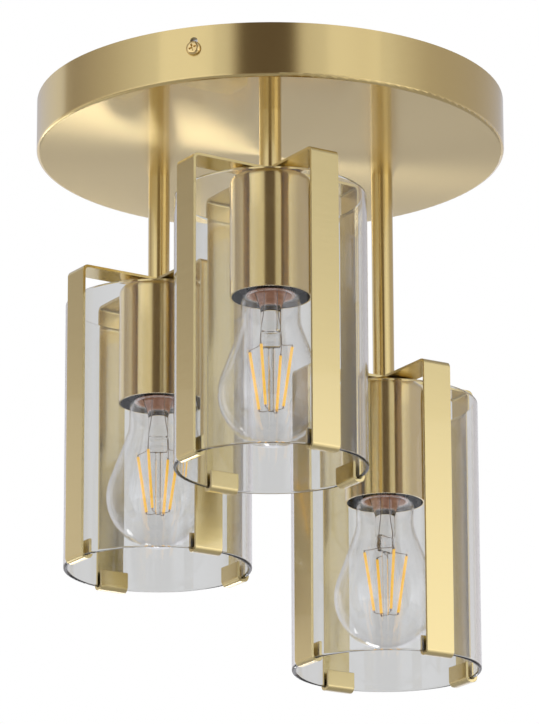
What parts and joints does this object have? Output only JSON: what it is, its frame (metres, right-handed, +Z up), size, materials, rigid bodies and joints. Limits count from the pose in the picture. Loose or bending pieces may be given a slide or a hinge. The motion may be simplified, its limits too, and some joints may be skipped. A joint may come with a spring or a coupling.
{
  "type": "semi flush ceiling light",
  "caption": "Round brass pan canopy with clear glass cylinder pendants at stepped heights, each held in a hooked strap cage round a socket cup and a filament bulb.",
  "frame": {"origin": "centre of the canopy in the ceiling plane, which is also the centre of the box screw slots", "axes": "+Z points up into the ceiling; +X runs along the mounting bar; the shortest pendant is on -Y"},
  "size_m": [0.28, 0.28, 0.342],
  "materials": {
    "satin_brass": "satin",
    "polished_brass": "polished",
    "plain_brass": "plain",
    "zinc_steel": "zinc plated",
    "green_screw": "green",
    "black_moulding": "moulded",
    "shade_glass": "clear",
    "bulb_glass": "clear",
    "solder": "dull",
    "cap_metal": "drawn",
    "black_glass": "gloss",
    "lead_wire": "fine wire",
    "filament": "phosphor coated"
  },
  "bodies": {
    "ceiling_bar": {"mounting_bar": "zinc_steel", "swivel_eyelet": "zinc_steel"},
    "fixture": {"canopy_bar": "zinc_steel", "ground_screw": "green_screw", "canopy_pan": "satin_brass", "canopy_screws": "polished_brass", "canopy_nipples": "zinc_steel", "stem_washers": "zinc_steel", "stem_nuts": "zinc_steel", "socket_nipples": "zinc_steel", "stem_short": "satin_brass", "upper_strap_short": "satin_brass", "lower_strap_short": "satin_brass", "socket_cup_short": "satin_brass", "lampholder_short": "black_moulding", "screw_shell_short": "plain_brass", "centre_contact_short": "plain_brass", "stem_middle": "satin_brass", "upper_strap_middle": "satin_brass", "lower_strap_middle": "satin_brass", "socket_cup_middle": "satin_brass", "lampholder_middle": "black_moulding", "screw_shell_middle": "plain_brass", "centre_contact_middle": "plain_brass", "stem_long": "satin_brass", "upper_strap_long": "satin_brass", "lower_strap_long": "satin_brass", "socket_cup_long": "satin_brass", "lampholder_long": "black_moulding", "screw_shell_long": "plain_brass", "centre_contact_long": "plain_brass"},
    "bulb_contact_short": {"bulb_tip_short": "solder"},
    "bulb_short": {"bulb_cap_short": "cap_metal", "bulb_insulator_short": "black_glass", "bulb_glass_short": "bulb_glass", "bulb_mount_short": "bulb_glass", "bulb_leads_short": "lead_wire", "bulb_filaments_short": "filament"},
    "shade_short": {"glass_shade_short": "shade_glass"},
    "bulb_contact_middle": {"bulb_tip_middle": "solder"},
    "bulb_middle": {"bulb_cap_middle": "cap_metal", "bulb_insulator_middle": "black_glass", "bulb_glass_middle": "bulb_glass", "bulb_mount_middle": "bulb_glass", "bulb_leads_middle": "lead_wire", "bulb_filaments_middle": "filament"},
    "shade_middle": {"glass_shade_middle": "shade_glass"},
    "bulb_contact_long": {"bulb_tip_long": "solder"},
    "bulb_long": {"bulb_cap_long": "cap_metal", "bulb_insulator_long": "black_glass", "bulb_glass_long": "bulb_glass", "bulb_mount_long": "bulb_glass", "bulb_leads_long": "lead_wire", "bulb_filaments_long": "filament"},
    "shade_long": {"glass_shade_long": "shade_glass"}
  },
  "joints": [
    {"name": "bar_swivel", "type": "hinge", "parent": "ceiling_bar", "child": "fixture", "pos_m": [0, 0, -0.0035], "axis": [0, 0, 1], "range_deg": [-45, 45]},
    {"name": "bulb_travel_short", "type": "slide", "parent": "fixture", "child": "bulb_contact_short", "axis": [0, 0, -1], "range_m": [0, 0.01452]},
    {"name": "bulb_turn_short", "type": "hinge", "parent": "bulb_contact_short", "child": "bulb_short", "pos_m": [0, -0.078, -0.1462], "axis": [0, 0, -1], "range_deg": [0, 1440]},
    {"name": "shade_lift_short", "type": "slide", "parent": "fixture", "child": "shade_short", "axis": [0, 0, 1], "range_m": [0, 0.0108]},
    {"name": "bulb_travel_middle", "type": "slide", "parent": "fixture", "child": "bulb_contact_middle", "axis": [0, 0, -1], "range_m": [0, 0.01452]},
    {"name": "bulb_turn_middle", "type": "hinge", "parent": "bulb_contact_middle", "child": "bulb_middle", "pos_m": [-0.06755, 0.039, -0.1757], "axis": [0, 0, -1], "range_deg": [0, 1440]},
    {"name": "shade_lift_middle", "type": "slide", "parent": "fixture", "child": "shade_middle", "axis": [0, 0, 1], "range_m": [0, 0.0108]},
    {"name": "bulb_travel_long", "type": "slide", "parent": "fixture", "child": "bulb_contact_long", "axis": [0, 0, -1], "range_m": [0, 0.01452]},
    {"name": "bulb_turn_long", "type": "hinge", "parent": "bulb_contact_long", "child": "bulb_long", "pos_m": [0.06755, 0.039, -0.2377], "axis": [0, 0, -1], "range_deg": [0, 1440]},
    {"name": "shade_lift_long", "type": "slide", "parent": "fixture", "child": "shade_long", "axis": [0, 0, 1], "range_m": [0, 0.0108]}
  ],
  "couplings": [
    {"joint": "bulb_travel_short", "follows": "bulb_turn_short", "m_per_rad": 0.0005775},
    {"joint": "bulb_travel_middle", "follows": "bulb_turn_middle", "m_per_rad": 0.0005775},
    {"joint": "bulb_travel_long", "follows": "bulb_turn_long", "m_per_rad": 0.0005775}
  ]
}
